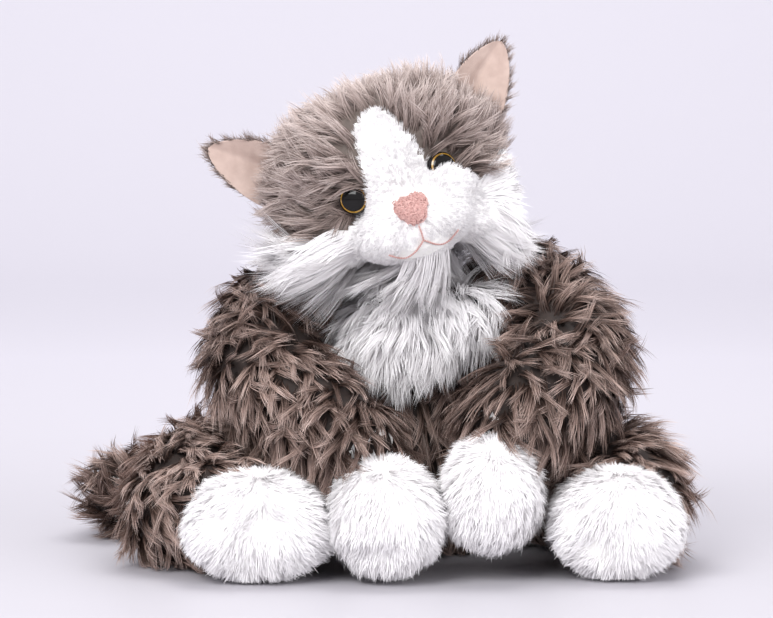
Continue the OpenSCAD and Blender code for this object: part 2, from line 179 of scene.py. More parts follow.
def add_stage():
    """A floor that curves up into a backdrop."""
    front, bend_at, radius, height, half = -4.5, 2.2, 1.6, 3.5, 5.0  # metres
    profile = [(front, 0.0), (bend_at, 0.0)]
    profile += [
        (bend_at + radius * math.sin(a), radius * (1 - math.cos(a)))
        for a in np.linspace(0, math.pi / 2, 14)[1:]
    ]
    profile.append((bend_at + radius, height))
    bm = bmesh.new()
    rows = [[bm.verts.new((x, y, z)) for x in (-half, half)] for y, z in profile]
    for a, b in zip(rows, rows[1:]):
        bm.faces.new((a[0], a[1], b[1], b[0]))
    stage = object_from(bm, "stage")
    for p in stage.data.polygons:
        p.use_smooth = True
    mat, tree, bsdf = new_material("stage", Roughness=0.5, Specular_IOR_Level=0.25)
    where = tree.nodes.new("ShaderNodeTexCoord")
    split = tree.nodes.new("ShaderNodeSeparateXYZ")
    tree.links.new(where.outputs["Object"], split.inputs[0])
    span = tree.nodes.new("ShaderNodeMapRange")
    span.inputs["From Min"].default_value, span.inputs["From Max"].default_value = 0.1, 3.8
    tree.links.new(split.outputs["Y"], span.inputs["Value"])
    # Painted light: the stage is darker near the front and lighter towards the far backdrop, to make up for
    # the lamps' light falling off with distance.
    near, halfway, far = (0.49, 0.475, 0.51), (0.70, 0.68, 0.735), (0.88, 0.86, 0.92)
    painted_light_ramp = ramp(tree, span.outputs["Result"], [(0.0, near), (0.27, halfway), (1.0, far)])
    tree.links.new(painted_light_ramp, bsdf.inputs["Base Color"])
    stage.data.materials.append(mat)


# ---- Materials ----


def new_material(name, **values):
    """A material, its node tree and its shader. values are the shader's inputs, with _ for a space."""
    mat = bpy.data.materials.new(name)
    mat.use_nodes = True
    bsdf = mat.node_tree.nodes["Principled BSDF"]
    for key, value in values.items():
        bsdf.inputs[key.replace("_", " ")].default_value = value
    return mat, mat.node_tree, bsdf


def ramp(tree, source, stops):
    """A colour that runs through stops, (place, colour), as source goes from 0 to 1."""
    node = tree.nodes.new("ShaderNodeValToRGB")
    node.color_ramp.elements.remove(node.color_ramp.elements[1])
    for k, (at, color) in enumerate(stops):
        e = node.color_ramp.elements[0] if k == 0 else node.color_ramp.elements.new(at)
        e.position = at
        e.color = (*color, 1)
    tree.links.new(source, node.inputs["Fac"])
    return node.outputs["Color"]


def mix(tree, factor, a, b):
    """The colour a where factor is 0 and b where it is 1."""
    node = tree.nodes.new("ShaderNodeMix")
    node.data_type = "RGBA"
    for source, socket in ((factor, 0), (a, 6), (b, 7)):
        tree.links.new(source, node.inputs[socket])
    return node.outputs[2]


def fur_material(name, dark, light, roughness, specular):
    """Colour along a strand (V) and from strand to strand (U): dark and light are ramps of stops from
    root to tip, for the darkest and the lightest strands. The darker stops at the root are painted shade
    deep in the pile."""
    mat, tree, bsdf = new_material(name, Roughness=roughness, Specular_IOR_Level=specular)
    uv = tree.nodes.new("ShaderNodeUVMap")
    uv.uv_map = "OFBake"
    split = tree.nodes.new("ShaderNodeSeparateXYZ")
    tree.links.new(uv.outputs["UV"], split.inputs[0])
    low = ramp(tree, split.outputs["Y"], dark)
    high = ramp(tree, split.outputs["Y"], light)
    color = mix(tree, split.outputs["X"], low, high)
    tree.links.new(color, bsdf.inputs["Base Color"])
    return mat


BUMP_DEPTH = 0.0004  # metres


def noisy_material(
    name, color_a, color_b, scale, roughness=(0.6, 0.9), bump=0.2, bump_scale=None, **values
):
    """A material whose colour, roughness and bump vary with a noise of this scale, per metre."""
    mat, tree, bsdf = new_material(name, **values)
    where = tree.nodes.new("ShaderNodeTexCoord")
    noise = tree.nodes.new("ShaderNodeTexNoise")
    noise.inputs["Scale"].default_value = scale
    noise.inputs["Detail"].default_value = 4
    tree.links.new(where.outputs["Object"], noise.inputs["Vector"])
    color = ramp(tree, noise.outputs["Fac"], [(0.3, color_a), (0.7, color_b)])
    tree.links.new(color, bsdf.inputs["Base Color"])
    span = tree.nodes.new("ShaderNodeMapRange")
    span.inputs["To Min"].default_value, span.inputs["To Max"].default_value = roughness
    tree.links.new(noise.outputs["Fac"], span.inputs["Value"])
    tree.links.new(span.outputs["Result"], bsdf.inputs["Roughness"])
    if bump:
        fine = tree.nodes.new("ShaderNodeTexNoise")
        fine.inputs["Scale"].default_value = bump_scale or scale * 6
        fine.inputs["Detail"].default_value = 3
        tree.links.new(where.outputs["Object"], fine.inputs["Vector"])
        height = tree.nodes.new("ShaderNodeBump")
        height.inputs["Strength"].default_value = bump
        height.inputs["Distance"].default_value = BUMP_DEPTH
        tree.links.new(fine.outputs["Fac"], height.inputs["Height"])
        tree.links.new(height.outputs["Normal"], bsdf.inputs["Normal"])
    return mat


# ---- Skins: the covers under the fur ----


class Skin:
    """A triangulated surface in millimetres, to grow fur on and to keep clear of."""

    def __init__(self, obj):
        mesh = obj.data
        mesh.calc_loop_triangles()
        self.v = np.empty(len(mesh.vertices) * 3)
        mesh.vertices.foreach_get("co", self.v)
        self.v = self.v.reshape(-1, 3) / MM
        self.t = np.empty(len(mesh.loop_triangles) * 3, np.int64)
        mesh.loop_triangles.foreach_get("vertices", self.t)
        self.t = self.t.reshape(-1, 3)
        a, b, c = (self.v[self.t[:, k]] for k in range(3))
        cross = np.cross(b - a, c - a)
        self.area = np.linalg.norm(cross, axis=1) / 2
        self.n = np.zeros_like(self.v)
        for k in range(3):
            np.add.at(self.n, self.t[:, k], cross)
        self.n = unit(self.n)
        self.tree = BVHTree.FromPolygons(self.v.tolist(), self.t.tolist())

    def scatter(self, per_mm2):
        """Random points on the surface, with their normals."""
        count = int(self.area.sum() * per_mm2)
        which = rng.choice(len(self.t), count, p=self.area / self.area.sum())
        r1, r2 = np.sqrt(rng.random(count)), rng.random(count)
        w = np.stack([1 - r1, r1 * (1 - r2), r1 * r2], 1)[:, :, None]
        tri = self.t[which]
        return (self.v[tri] * w).sum(1), unit((self.n[tri] * w).sum(1))


def mesh_object(name, verts, faces):
    """A new smooth mesh object from points in millimetres."""
    mesh = bpy.data.meshes.new(name)
    mesh.from_pydata((np.asarray(verts, float) * MM).tolist(), [], [tuple(map(int, f)) for f in faces])
    mesh.update()
    mesh.polygons.foreach_set("use_smooth", [True] * len(mesh.polygons))
    return placed(name, mesh)


def grid_faces(rows, cols):
    """Faces of a grid of points that runs row by row."""
    corners = [r * cols + c for r in range(rows - 1) for c in range(cols - 1)]
    return [(k, k + 1, k + cols + 1, k + cols) for k in corners]


def remeshed(obj, voxel, relax):
    """obj with a fresh mesh of even cells, voxel millimetres wide, relaxed so many times."""
    mod = obj.modifiers.new("voxels", "REMESH")
    mod.mode = "VOXEL"
    mod.voxel_size = voxel * MM
    mod.use_smooth_shade = True
    smooth = obj.modifiers.new("relax", "SMOOTH")
    smooth.factor = 0.5
    smooth.iterations = relax
    deps = bpy.context.evaluated_depsgraph_get()
    mesh = bpy.data.meshes.new_from_object(obj.evaluated_get(deps))
    obj.modifiers.clear()
    old, obj.data = obj.data, mesh
    bpy.data.meshes.remove(old)
    mesh.polygons.foreach_set("use_smooth", [True] * len(mesh.polygons))
    return obj


def solids(*names):
    """The welded points and faces of CAD nodes, in metres, as a BMesh."""
    bm = bmesh.new()
    for name in names:
        bm.from_mesh(NODES[name].data)
    bmesh.ops.remove_doubles(bm, verts=bm.verts, dist=1e-6)
    bmesh.ops.recalc_face_normals(bm, faces=bm.faces)
    bm.normal_update()
    return bm


def add_lumps(bm, lumps, place=np.asarray):
    """Adds ellipsoids (middle, radii), in millimetres. place takes their points to the shared frame."""
    for at, radii in lumps:
        for v in bmesh.ops.create_icosphere(bm, subdivisions=3, radius=1.0)["verts"]:
            v.co = place(np.array(at) + np.array(radii) * np.array(v.co)) * MM


def skin_of(name, filling, outset, voxel=5.0, relax=4, lumps=()):
    """A cover over a CAD filling, outset millimetres outside it, with rounded lumps."""
    bm = solids(filling)
    for v in bm.verts:
        v.co += v.normal * outset * MM
    add_lumps(bm, lumps)
    return remeshed(object_from(bm, name), voxel, relax)


HEAD_INSET = 0.5  # how far the head's cover starts inside its CAD pieces


def head_skin():
    """The head's cover: a round head, a muzzle, a bridge and full cheeks."""
    bm = solids("crown_left", "crown_right", "cheek_left", "cheek_right")
    out = bmesh.ops.convex_hull(bm, input=bm.verts)
    keep = {v for g in out["geom"] if isinstance(g, bmesh.types.BMFace) for v in g.verts}
    bmesh.ops.delete(bm, geom=[v for v in bm.verts if v not in keep], context="VERTS")
    for v in bm.verts:
        v.co -= v.normal * HEAD_INSET * MM
    lumps = [
        ((0, -35, -30), (27, 25, 19)),  # muzzle
        ((0, -39, -8), (13, 12, 24)),  # bridge of the nose
        ((-15, -42, -31), (14, 17, 13)),  # left whisker pad
        ((15, -42, -31), (14, 17, 13)),  # right whisker pad
        ((0, -38, -42), (15, 14, 9)),  # chin
        ((-34, -20, -24), (19, 20, 17)),  # left cheek
        ((34, -20, -24), (19, 20, 17)),  # right cheek
        ((23, -42, -18.2), (14, 12, 10.5)),  # right of the muzzle, under the eye
        ((34, -24, -37), (17, 17, 15)),  # right jowl
        ((-11, -42, -12), (8, 9, 16)),  # left of the bridge, beside the eye
        ((-24, -32, 8), (16, 10, 11)),  # left brow
        ((24, -32, 8), (16, 10, 11)),  # right brow
    ]
    add_lumps(bm, lumps, from_head)
    return remeshed(object_from(bm, "head_skin"), voxel=3.0, relax=6)


CLOTH_FRAMES, PRESSURE = 20, 4.0


def inflate(objs, cap):
    """Swells covers as their filling would: one Cloth run for all of them, capped in millimetres."""
    verts, faces, start = [], [], 0
    for obj in objs:
        co = np.empty(len(obj.data.vertices) * 3)
        obj.data.vertices.foreach_get("co", co)
        verts.append(co.reshape(-1, 3))
        faces += [[i + start for i in p.vertices] for p in obj.data.polygons]
        start += len(verts[-1])
    before = np.concatenate(verts)
    mesh = bpy.data.meshes.new("filling")
    mesh.from_pydata(before.tolist(), [], faces)
    temp = placed("filling", mesh)
    mod = temp.modifiers.new("cloth", "CLOTH")
    settings = mod.settings
    settings.quality = 4
    settings.mass = 0.3
    settings.tension_stiffness = settings.compression_stiffness = 12
    settings.shear_stiffness = 4
    settings.bending_stiffness = 0.4
    settings.use_pressure = True
    settings.uniform_pressure_force = PRESSURE
    settings.effector_weights.gravity = 0
    mod.point_cache.frame_start, mod.point_cache.frame_end = 1, CLOTH_FRAMES
    scene = bpy.context.scene
    for f in range(1, CLOTH_FRAMES + 1):
        scene.frame_set(f)
    deps = bpy.context.evaluated_depsgraph_get()
    moved = temp.evaluated_get(deps).to_mesh()
    after = np.empty(len(before) * 3)
    moved.vertices.foreach_get("co", after)
    after = after.reshape(-1, 3)
    step = after - before
    size = np.linalg.norm(step, axis=1, keepdims=True)
    after = before + step * np.minimum(1, cap * MM / np.maximum(size, 1e-9))
    start = 0
    for obj, v in zip(objs, verts):
        obj.data.vertices.foreach_set("co", after[start : start + len(v)].ravel())
        obj.data.update()
        start += len(v)
    bpy.data.objects.remove(temp)
    scene.frame_set(1)


def shape(obj, dents):
    """Presses dents into the front of a cover and flattens it where it rests on the floor."""
    for v in obj.data.vertices:
        x, y, z = v.co / MM
        for at_x, at_z, depth, reach in dents:
            if v.normal.y < 0:
                y += depth * math.exp(-((x - at_x) ** 2 + (z - at_z) ** 2) / reach**2)
        v.co = (x * MM, y * MM, max(z, FLOOR) * MM)
    obj.data.update()


# ---- Fur ----


def swirl_field(p, wave, strength):
    """A smooth random direction field, correlated over about one wave, in millimetres."""
    waves = 5
    out = np.zeros_like(p)
    for _ in range(waves):
        k = unit(rng.normal(size=3)) * 2 * math.pi / (wave * rng.uniform(0.7, 1.5))
        out += np.sin(p @ k + rng.uniform(0, 6.28))[:, None] * unit(rng.normal(size=3))
    return out * strength / 2


def room_along(p, d, reach, others):
    """How far each point can go along d before it meets another skin, up to reach."""
    room = reach.copy()
    for skin in others:
        low, high = skin.v.min(0) - reach.max(), skin.v.max(0) + reach.max()
        near = np.nonzero(((p > low) & (p < high)).all(1))[0]
        for i in near:
            hit = skin.tree.ray_cast(p[i].tolist(), d[i].tolist(), float(reach[i]))
            if hit[0] is not None:
                room[i] = min(room[i], hit[3])
    return room


def buried(p, n, others, depth):
    """True where a point, lifted off its skin by depth, is inside another skin or nearly so."""
    margin, gap = 2, 0.5
    out = np.zeros(len(p), bool)
    q = p + n * depth
    for skin in others:
        low, high = skin.v.min(0) - margin, skin.v.max(0) + margin
        for i in np.nonzero(((q > low) & (q < high)).all(1) & ~out)[0]:
            at, normal, _, dist = skin.tree.find_nearest(q[i].tolist())
            if at is not None and (q[i] - np.array(at)) @ np.array(normal) < gap:
                out[i] = True
    return out


def guides(p, n, along, style, others):
    """Paths of the locks: [lock, step, xyz]. along is the way that the pile is combed."""
    root_depth, shortest, overlap = 0.6, 5, 1.3  # overlap: how far past a skin that it meets
    count, steps = len(p), style["steps"]
    along = along + swirl_field(p, style["wave"], style["swirl"])
    along = along + rng.normal(size=p.shape) * style["stray"]
    along = along_skin(along, n)
    lift = np.radians(rng.normal(style["lift"], style["lift_var"], (count, 1)))
    length = style["length"] * rng.uniform(1 - style["length_var"], 1 + style["length_var"], count)
    if "length_at" in style:
        length *= style["length_at"](p)
    d = n * np.sin(lift) + along * np.cos(lift)
    if others:
        room = room_along(p + n * 0.5, d, length, others)
        length = np.minimum(length, np.maximum(room * overlap, shortest))
    side = unit(np.cross(n, along))
    curl = rng.normal(0, style["curl"], (count, 1))
    lie = math.sin(math.radians(style["lie"]))
    path = [p - n * root_depth]
    for k in range(steps):
        t = (k + 0.5) / steps
        now = d * (1 - t * 0.9) + (along + n * lie) * t * 1.1 + side * curl * t
        now[:, 2] -= style["droop"] * t
        path.append(path[-1] + unit(now) * (length / steps)[:, None])
    return np.stack(path, 1)


def strands_from(path, n, style):
    """Strands round each lock's path, drawn together towards its tip: [strand, step, xyz], and the lock
    that each belongs to."""
    locks, points = path.shape[:2]
    per = style["per_lock"]
    which = np.repeat(np.arange(locks), per)
    root = path[which, 0]
    nn = n[which]
    a = unit(np.cross(nn, rng.normal(size=nn.shape)))
    b = np.cross(nn, a)
    r = style["lock_r"] * np.sqrt(rng.random(len(which)))[:, None]
    ang = rng.uniform(0, 2 * math.pi, len(which))[:, None]
    offset = (a * np.cos(ang) + b * np.sin(ang)) * r
    scale = rng.uniform(1 - style["ragged"], 1.0, len(which))[:, None, None]
    t = np.linspace(0, 1, points)[None, :, None]
    hold = 1 - style["clump"] * t ** style["clump_power"]
    fuzz = rng.normal(size=(len(which), 1, 3)) * style["fuzz"] * t**1.5
    rel = (path[which] - root[:, None]) * scale
    return root[:, None] + rel + offset[:, None] * hold + fuzz, which


def keep_off_floor(path):
    low = path[..., 2] < FLOOR
    path[..., 2] = np.where(low, FLOOR + rng.random(path.shape[:-1]) * 1.2, path[..., 2])
    return path


SHADES = 128  # columns of the colour map, one for each shade of strand


def ribbons(name, paths, facing, width, shade, material):
    """One mesh of tapered ribbons along the paths. facing is the way the flat side looks. UV: U is the
    strand's shade, V runs from root to tip."""
    count, points = paths.shape[:2]
    tangent = np.gradient(paths, axis=1)
    across = unit(np.cross(tangent, facing[:, None, :]))
    steps = points - 1
    t = np.linspace(0, 1, points)
    half = width[:, None, None] / 2 * (1 - 0.65 * t[None, :, None] ** 2)
    left, right = paths - across * half, paths + across * half
    verts = np.empty((count, 2 * steps + 1, 3))
    verts[:, 0 : 2 * steps : 2] = left[:, :steps]
    verts[:, 1 : 2 * steps : 2] = right[:, :steps]
    verts[:, 2 * steps] = paths[:, steps]
    quad = np.array([[2 * s, 2 * s + 1, 2 * s + 3, 2 * s + 2] for s in range(steps - 1)]).ravel()
    tri = np.array([2 * steps - 2, 2 * steps - 1, 2 * steps])
    corner = np.concatenate([quad, tri])
    loops = (corner[None] + (np.arange(count) * (2 * steps + 1))[:, None]).ravel()
    sizes = np.tile(np.array([4] * (steps - 1) + [3]), count)
    starts = np.concatenate([[0], np.cumsum(sizes)[:-1]])
    mesh = bpy.data.meshes.new(name)
    mesh.vertices.add(verts.shape[0] * verts.shape[1])
    mesh.vertices.foreach_set("co", (verts * MM).ravel().astype(np.float32))
    mesh.loops.add(len(loops))
    mesh.loops.foreach_set("vertex_index", loops.astype(np.int32))
    mesh.polygons.add(len(sizes))
    mesh.polygons.foreach_set("loop_start", starts.astype(np.int32))
    mesh.polygons.foreach_set("loop_total", sizes.astype(np.int32))
    column = np.clip((shade * SHADES).astype(int), 0, SHADES - 1)
    side = np.tile(np.array([0.1, 0.9]), steps)
    u = np.concatenate([side, [0.5]])
    v = np.concatenate([np.repeat(t[:steps], 2), [1.0]])
    uv_vert = np.empty((count, 2 * steps + 1, 2))
    uv_vert[..., 0] = (column[:, None] + u[None]) / SHADES
    uv_vert[..., 1] = v[None] * 0.98 + 0.01
    uv = uv_vert.reshape(-1, 2)[loops]
    layer = mesh.uv_layers.new(name="OFBake")
    layer.data.foreach_set("uv", uv.ravel().astype(np.float32))
    mesh.polygons.foreach_set("use_smooth", [True] * len(mesh.polygons))
    mesh.update()
    mesh.materials.append(material)
    return placed(name, mesh)


# Styles of pile. Lengths are in millimetres; lift and lie are the angles at root and tip, in degrees
BASE = dict(
    steps=4, length=20.0, length_var=0.2, lift=50, lift_var=10, lie=12, droop=0.25, curl=0.3, swirl=0.5,
    wave=45.0, stray=0.25, lock_r=2.4, clump=0.8, clump_power=1.2, fuzz=0.5, ragged=0.3, per_lock=12,
    width=0.6, per_mm2=0.08, roll=0.5, shade=(0.5, 0.25), shade_lock=0.2,
)
BROWN = dict(
    BASE, length=24.0, length_var=0.3, lift=42, lift_var=14, lie=4, droop=0.3, curl=0.9, swirl=0.7,
    wave=40.0, stray=0.3, lock_r=3.1, clump=0.82, clump_power=0.8, fuzz=1.0, ragged=0.4, per_lock=22,
    width=0.4, per_mm2=0.052, roll=0.7, shade=(0.5, 0.25), shade_lock=0.24,
)
CROWN = dict(
    BASE, length=20.0, length_var=0.25, lift=50, lift_var=12, lie=10, droop=0.0, curl=0.7, swirl=0.42,
    wave=26.0, stray=0.24, lock_r=2.5, clump=0.6, clump_power=1.0, fuzz=0.9, ragged=0.4, per_lock=15,
    width=0.35, per_mm2=0.09, roll=0.6, shade=(0.56, 0.32), shade_lock=0.16,
)
RUFF = dict(
    BASE, length=30.0, length_var=0.2, lift=30, lift_var=8, lie=6, droop=0.2, curl=0.35, swirl=0.22,
    wave=40.0, stray=0.12, lock_r=3.2, clump=0.4, clump_power=1.3, fuzz=1.2, ragged=0.35, per_lock=24,
    width=0.42, per_mm2=0.12, roll=0.15, shade=(0.8, 0.15), shade_lock=0.04,
)
PAW = dict(
    BASE, steps=3, length=7.8, length_var=0.2, lift=32, lift_var=8, lie=10, droop=0.05, curl=0.2,
    swirl=0.4, wave=34.0, stray=0.16, lock_r=1.9, clump=0.15, clump_power=1.3, fuzz=0.9, ragged=0.35,
    per_lock=15, width=0.42, per_mm2=0.17, roll=0.15, shade=(0.75, 0.18), shade_lock=0.05,
)
SHORT = dict(
    BASE, steps=2, length=3.2, length_var=0.15, lift=40, lift_var=10, lie=20, droop=0.0, curl=0.1,
    swirl=0.15, wave=20.0, stray=0.15, lock_r=0.9, clump=0.15, fuzz=0.25, ragged=0.3, per_lock=7,
    width=0.3, per_mm2=0.8, roll=0.6, shade=(0.35, 0.25), shade_lock=0.1,
)


CLEARANCE = 3.0  # no lock starts nearer than this to another skin
PATCH, PATCH_CONTRAST = 40.0, 0.3  # size and contrast of the lighter and darker patches


def grow(name, body, skin, style, comb, material, zone=None, others=()):
    """Grows a piece of fur on a skin. zone(p, n) says where, comb(p, n) which way."""
    p, n = skin.scatter(style["per_mm2"])
    if zone is not None:
        keep = zone(p, n)
        p, n = p[keep], n[keep]
    if others:
        clear = ~buried(p, n, others, CLEARANCE)
        p, n = p[clear], n[clear]
    path = guides(p, n, comb(p, n), style, others)
    paths, which = strands_from(path, n, style)
    paths = keep_off_floor(paths)
    roll = unit(rng.normal(size=(len(paths), 3)))
    facing = unit(n[which] + roll * style["roll"])
    width = style["width"] * rng.uniform(0.75, 1.2, len(paths))
    mid, spread = style["shade"]
    lock_shade = rng.normal(0, style["shade_lock"], len(path))
    lock_shade += swirl_field(p, PATCH, PATCH_CONTRAST)[:, 0]
    if "shade_at" in style:
        lock_shade += style["shade_at"](p)
    shade = np.clip(mid + lock_shade[which] + rng.normal(0, spread, len(paths)), 0, 1)
    obj = ribbons(name, paths, facing, width, shade, material)
    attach(obj, body)


# ---- Build ----

add_camera()
add_lights()
add_stage()

# Painted shade: the roots are nearly black, for the shade deep in the pile. The tips are lighter: partly
# the fur's own tan tips, partly painted highlight.
brown_fur = fur_material(
    "brown_fur",
    [
        (0.0, (0.016, 0.008, 0.006)), (0.3, (0.036, 0.020, 0.015)),
        (0.7, (0.13, 0.082, 0.066)), (1.0, (0.24, 0.165, 0.138)),
    ],
    [
        (0.0, (0.030, 0.016, 0.012)), (0.3, (0.12, 0.074, 0.058)),
        (0.7, (0.44, 0.315, 0.268)), (1.0, (0.76, 0.61, 0.55)),
    ],
    roughness=0.45, specular=0.28,
)
crown_fur = fur_material(
    "crown_fur",
    [(0.0, (0.08, 0.055, 0.046)), (0.5, (0.20, 0.148, 0.13)), (1.0, (0.29, 0.225, 0.20))],
    [(0.0, (0.16, 0.118, 0.10)), (0.5, (0.44, 0.35, 0.32)), (1.0, (0.72, 0.62, 0.585))],
    roughness=0.5, specular=0.4,
)
white_fur = fur_material(
    "white_fur",
    [(0.0, (0.88, 0.855, 0.855)), (0.5, (0.90, 0.88, 0.882)), (1.0, (0.91, 0.892, 0.898))],
    [(0.0, (0.91, 0.89, 0.892)), (0.5, (0.93, 0.912, 0.918)), (1.0, (0.94, 0.925, 0.932))],
    roughness=0.6, specular=0.3,
)
# Painted shade: a darker copy of the white fur for the face, where the lights fall strongest.
face_white_painted_shade = fur_material(
    "face_white_painted_shade",
    [(0.0, (0.72, 0.70, 0.70)), (1.0, (0.80, 0.785, 0.79))],
    [(0.0, (0.80, 0.78, 0.785)), (1.0, (0.86, 0.845, 0.852))],
    roughness=0.65, specular=0.25,
)
# Painted shade: the brown and taupe backings are as dark as the roots of their pile, for the shade in the
# gaps between the locks.
brown_skin = noisy_material("brown_backing", (0.018, 0.011, 0.009), (0.04, 0.026, 0.021), 400)
taupe_skin = noisy_material("taupe_backing", (0.09, 0.07, 0.06), (0.14, 0.11, 0.095), 400)
white_skin = noisy_material("white_backing", (0.90, 0.88, 0.87), (0.96, 0.95, 0.94), 400)

BACKING = {"brown_plush": brown_skin, "taupe_plush": taupe_skin, "white_plush": white_skin}

LUMPS = {  # (middle, radii) of what makes a cover fuller than its CAD filling
    "torso": [((14, -14, 112), (27, 18, 22)), ((42, -12, 120), (20, 14, 16))],
    "leg_left": [((-98, -40, 28), (22, 26, 25))],
    "front_paw_left": [((5, -92, 30), (28, 25, 27))],
    "front_paw_right": [((54, -88, 39), (25, 22, 25))],
    "hind_paw_left": [((-55, -86, 24), (37, 25, 22))],
    "hind_paw_right": [((104, -93, 31), (10, 9, 8))],
}
skins = {}
for name in ("torso", "arm_left", "arm_right", "leg_left", "leg_right", "tail"):
    filling = "body_stuffing" if name == "torso" else f"{name}_stuffing"
    skins[name] = skin_of(f"{name}_skin", filling, 1.5, lumps=LUMPS.get(name, ()))
for name in ("front_paw_left", "front_paw_right", "hind_paw_left", "hind_paw_right"):
    skins[name] = skin_of(f"{name}_skin", f"{name}_fill", 2.2, 4.0, 12, LUMPS[name])
skins["neck"] = skin_of("neck_skin", "neck_cover", -0.3, 3.0)
skins["head"] = head_skin()
COVERS = {  # body, how full, slot and the CAD pieces that the cover stands for
    "torso": (
        "torso", 0.85, "brown_plush",
        ["body_left_cover", "body_right_cover", "chest_panel", "seat_panel"],
    ),
    "tail": ("tail", 0.8, "brown_plush", ["tail_cover"]),
    "neck": ("neck", 0.8, "white_plush", ["neck_cover"]),
    "head": (
        "head", 0.95, "taupe_plush",
        ["crown_left", "crown_right", "face_panel", "cheek_left", "cheek_right", "chin_panel"],
    ),
}
for side in ("left", "right"):
    arm, leg, front, hind = (f"{part}_{side}" for part in ("arm", "leg", "front_paw", "hind_paw"))
    COVERS[arm] = (arm, 0.9, "brown_plush", [f"{arm}_cover"])
    COVERS[leg] = (leg, 0.9, "brown_plush", [f"{leg}_cover"])
    COVERS[front] = (arm, 0.9, "white_plush", [f"{front}_cover"])
    COVERS[hind] = (leg, 0.9, "white_plush", [f"{hind}_cover", f"{hind}_sole"])
inflate([obj for name, obj in skins.items() if name not in ("head", "neck")], cap=2.0)
DENTS = {  # the stitched toes and folds of the paws, on their fronts: (x, z, depth, reach)
    "hind_paw_left": [(-75, 30, 4, 6), (-52, 29, 5, 6), (-62, 12, 3, 9)],
    "hind_paw_right": [(104, 18, 4, 7), (90, 26, 3, 6), (92, 34, 3, 5)],
    "front_paw_left": [(-14, 15, 4, 6), (-4, 18, 4, 5), (6, 19, 3, 5)],
}
for name, obj in skins.items():
    shape(obj, DENTS.get(name, []))
    body, fill, slot, stands_for = COVERS[name]
    obj.data.materials.clear()
    obj.data.materials.append(BACKING[slot])
    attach(obj, body)
    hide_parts(*stands_for)
S = {name: Skin(obj) for name, obj in skins.items()}

FACE = np.array(  # outline (x, z) of the short white pile, in the head's own frame
    [
        (-8, 24), (-4, 28), (2, 29.5), (7, 27), (11, 19), (14, 8), (15.5, -2), (19, -6), (24, -8),
        (28.5, -12), (34, -17), (38, -24), (36, -46), (-27, -46), (-32, -37), (-30, -25), (-21, -16),
        (-16, -9), (-14, 3), (-12, 19),
    ],
    float,
)


def inside(outline, x, z):
    """True where (x, z) is inside the outline."""
    hit = np.zeros(len(x), bool)
    for (x1, z1), (x2, z2) in zip(outline, np.roll(outline, -1, axis=0)):
        crosses = (z1 > z) != (z2 > z)
        with np.errstate(divide="ignore", invalid="ignore"):
            at = (x2 - x1) * (z - z1) / (z2 - z1) + x1
        hit ^= crosses & (x < at)
    return hit


def covers(*names):
    return [S[n] for n in names]


def toward(point, down):
    """Combs the pile towards a point, and down."""

    def comb(p, n):
        v = unit(point - p)
        v[:, 2] -= down
        return along_skin(v, n)

    return comb


def away(point):
    """Combs the pile outwards from a point."""
    return lambda p, n: along_skin(unit(p - point), n)


def downwards(p, n):
    return along_skin(np.array([0, 0, -1.0]), n)


def whorls(base, *centres):
    """Combs the pile as base does, and away from each centre near it: (x, y, z, reach, strength)."""

    def comb(p, n):
        v = base(p, n)
        for x, y, z, reach, strength in centres:
            out = p - [x, y, z]
            out -= n * (out * n).sum(1, keepdims=True)
            near = np.exp(-((p - [x, y, z]) ** 2).sum(1, keepdims=True) / reach**2)
            v = v * (1 - 0.7 * near) + unit(out) * strength * near
        return v

    return comb


# ---- Fur of the limbs and the body ----

ARM_WHORLS = {
    "left": [(-33, -40, 118, 26, 2.2), (-60, -30, 96, 20, 1.2), (-12, -62, 78, 20, 1.2)],
    "right": [(80, -40, 125, 26, 2.2), (66, -60, 98, 24, 1.6), (100, -50, 90, 20, 1.0)],
}
LEG_WHORLS = {
    "left": [(-66, -40, 66, 24, 1.8), (-100, -40, 40, 20, 0.8)],
    "right": [(108, -36, 62, 24, 1.6), (130, -50, 36, 20, 0.8)],
}
# Painted shade: the right arm's strands are set darker than the left's, for the side away from the key
# light.
ARM_TONE_AND_PAINTED_SHADE = {"left": (0.46, 0.28), "right": (0.36, 0.28)}
for side in ("left", "right"):
    paw, hind = middle(f"front_paw_{side}_cover"), middle(f"hind_paw_{side}_cover")
    grow(
        f"arm_{side}_fur", f"arm_{side}", S[f"arm_{side}"], dict(BROWN, shade=ARM_TONE_AND_PAINTED_SHADE[side]),
        whorls(toward(paw, 0.5), *ARM_WHORLS[side]), brown_fur,
        others=covers("torso", "head", f"front_paw_{side}", f"leg_{side}", f"hind_paw_{side}"),
    )
    # Painted light: the legs' strands are set lighter than the arms', for the lit tops of the thighs.
    grow(
        f"leg_{side}_fur", f"leg_{side}", S[f"leg_{side}"], dict(BROWN, shade=(0.85, 0.24)),
        whorls(toward(hind, 0.9), *LEG_WHORLS[side]), brown_fur,
        others=covers("torso", f"hind_paw_{side}", f"arm_{side}", f"front_paw_{side}"),
    )
    grow(
        f"front_paw_{side}_fur", f"arm_{side}", S[f"front_paw_{side}"], PAW, away(paw + [0, -6, 12]),
        white_fur, others=covers(f"arm_{side}", f"hind_paw_{side}"),
    )
    grow(
        f"hind_paw_{side}_fur", f"leg_{side}", S[f"hind_paw_{side}"], PAW, away(hind + [0, -8, 14]),
        white_fur, others=covers(f"leg_{side}"),
    )


BIB_LOW = 94.0  # height of the bib's lower end


def torso_white(p, n):
    """The bib: wide at the neck and narrow at its lower end."""
    wide = smoothstep(p[:, 2], BIB_LOW, BIB_LOW + 24)
    across = (p[:, 0] > 8 - 26 * wide) & (p[:, 0] < 20 + 42 * wide)
    return across & (p[:, 1] < 10) & (p[:, 2] > BIB_LOW)


def near_neck(p):
    """Shorter where the head lies over it."""
    return 0.45 + 0.55 * smoothstep(np.linalg.norm(p - joint_at("head_turn"), axis=1), 38, 66)


